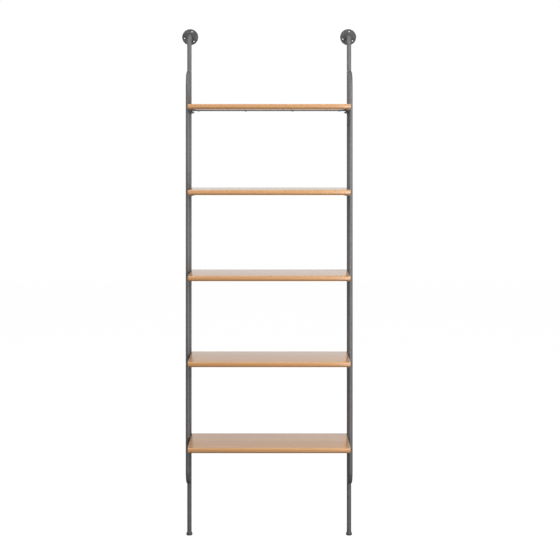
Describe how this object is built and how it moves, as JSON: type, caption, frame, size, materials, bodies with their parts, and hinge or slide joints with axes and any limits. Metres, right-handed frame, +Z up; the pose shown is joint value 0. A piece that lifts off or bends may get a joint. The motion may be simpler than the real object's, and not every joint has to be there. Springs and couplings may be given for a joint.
{
  "type": "wall-mounted ladder shelf",
  "caption": "Tall open shelf: wooden boards held between two narrow ladders of bent steel tube that are screwed to the wall and stand on levelling feet.",
  "frame": {"origin": "where the wall's plane meets the floor, midway between the two uprights", "axes": "+X to the right as seen from the room, +Y into the wall, +Z up; the boards' front edges face -Y"},
  "size_m": [0.76, 0.34, 2.191],
  "materials": {
    "wood": "satin lacquer",
    "steel": "satin powder coat",
    "flange_steel": "satin powder coat, slightly mottled",
    "foot_steel": "satin powder coat",
    "zinc": "dull zinc plating",
    "rubber": "matte"
  },
  "bodies": {
    "frame": {"left_upright": "steel", "right_upright": "steel", "left_front_rail": "steel", "right_front_rail": "steel", "left_end_plug": "zinc", "right_end_plug": "zinc", "left_flange_screw": "zinc", "right_flange_screw": "zinc", "left_arm_1": "steel", "left_arm_2": "steel", "left_arm_3": "steel", "left_arm_4": "steel", "left_arm_5": "steel", "right_arm_1": "steel", "right_arm_2": "steel", "right_arm_3": "steel", "right_arm_4": "steel", "right_arm_5": "steel", "board_1": "wood", "board_2": "wood", "board_3": "wood", "board_4": "wood", "board_5": "wood", "stiffener_bar_1": "steel", "stiffener_bar_2": "steel", "stiffener_bar_3": "steel", "stiffener_bar_4": "steel", "stiffener_bar_5": "steel", "arm_studs": "zinc", "arm_washers": "zinc", "arm_nuts": "zinc", "arm_screws": "zinc", "bar_screws": "zinc", "left_foot_insert": "zinc", "right_foot_insert": "zinc"},
    "left_flange": {"left_wall_flange": "flange_steel"},
    "right_flange": {"right_wall_flange": "flange_steel"},
    "left_leveller": {"left_foot": "foot_steel", "left_foot_stem": "zinc", "left_foot_pad": "rubber"},
    "right_leveller": {"right_foot": "foot_steel", "right_foot_stem": "zinc", "right_foot_pad": "rubber"}
  },
  "joints": [
    {"name": "left_flange_turn", "type": "hinge", "parent": "frame", "child": "left_flange", "pos_m": [-0.345, -0.01, 2.156], "axis": [0, 1, 0], "continuous": true},
    {"name": "right_flange_turn", "type": "hinge", "parent": "frame", "child": "right_flange", "pos_m": [0.345, -0.01, 2.156], "axis": [0, 1, 0], "continuous": true},
    {"name": "left_foot_screw", "type": "slide", "parent": "frame", "child": "left_leveller", "axis": [0, 0, -1], "range_m": [0, 0.012]},
    {"name": "right_foot_screw", "type": "slide", "parent": "frame", "child": "right_leveller", "axis": [0, 0, -1], "range_m": [0, 0.012]}
  ]
}
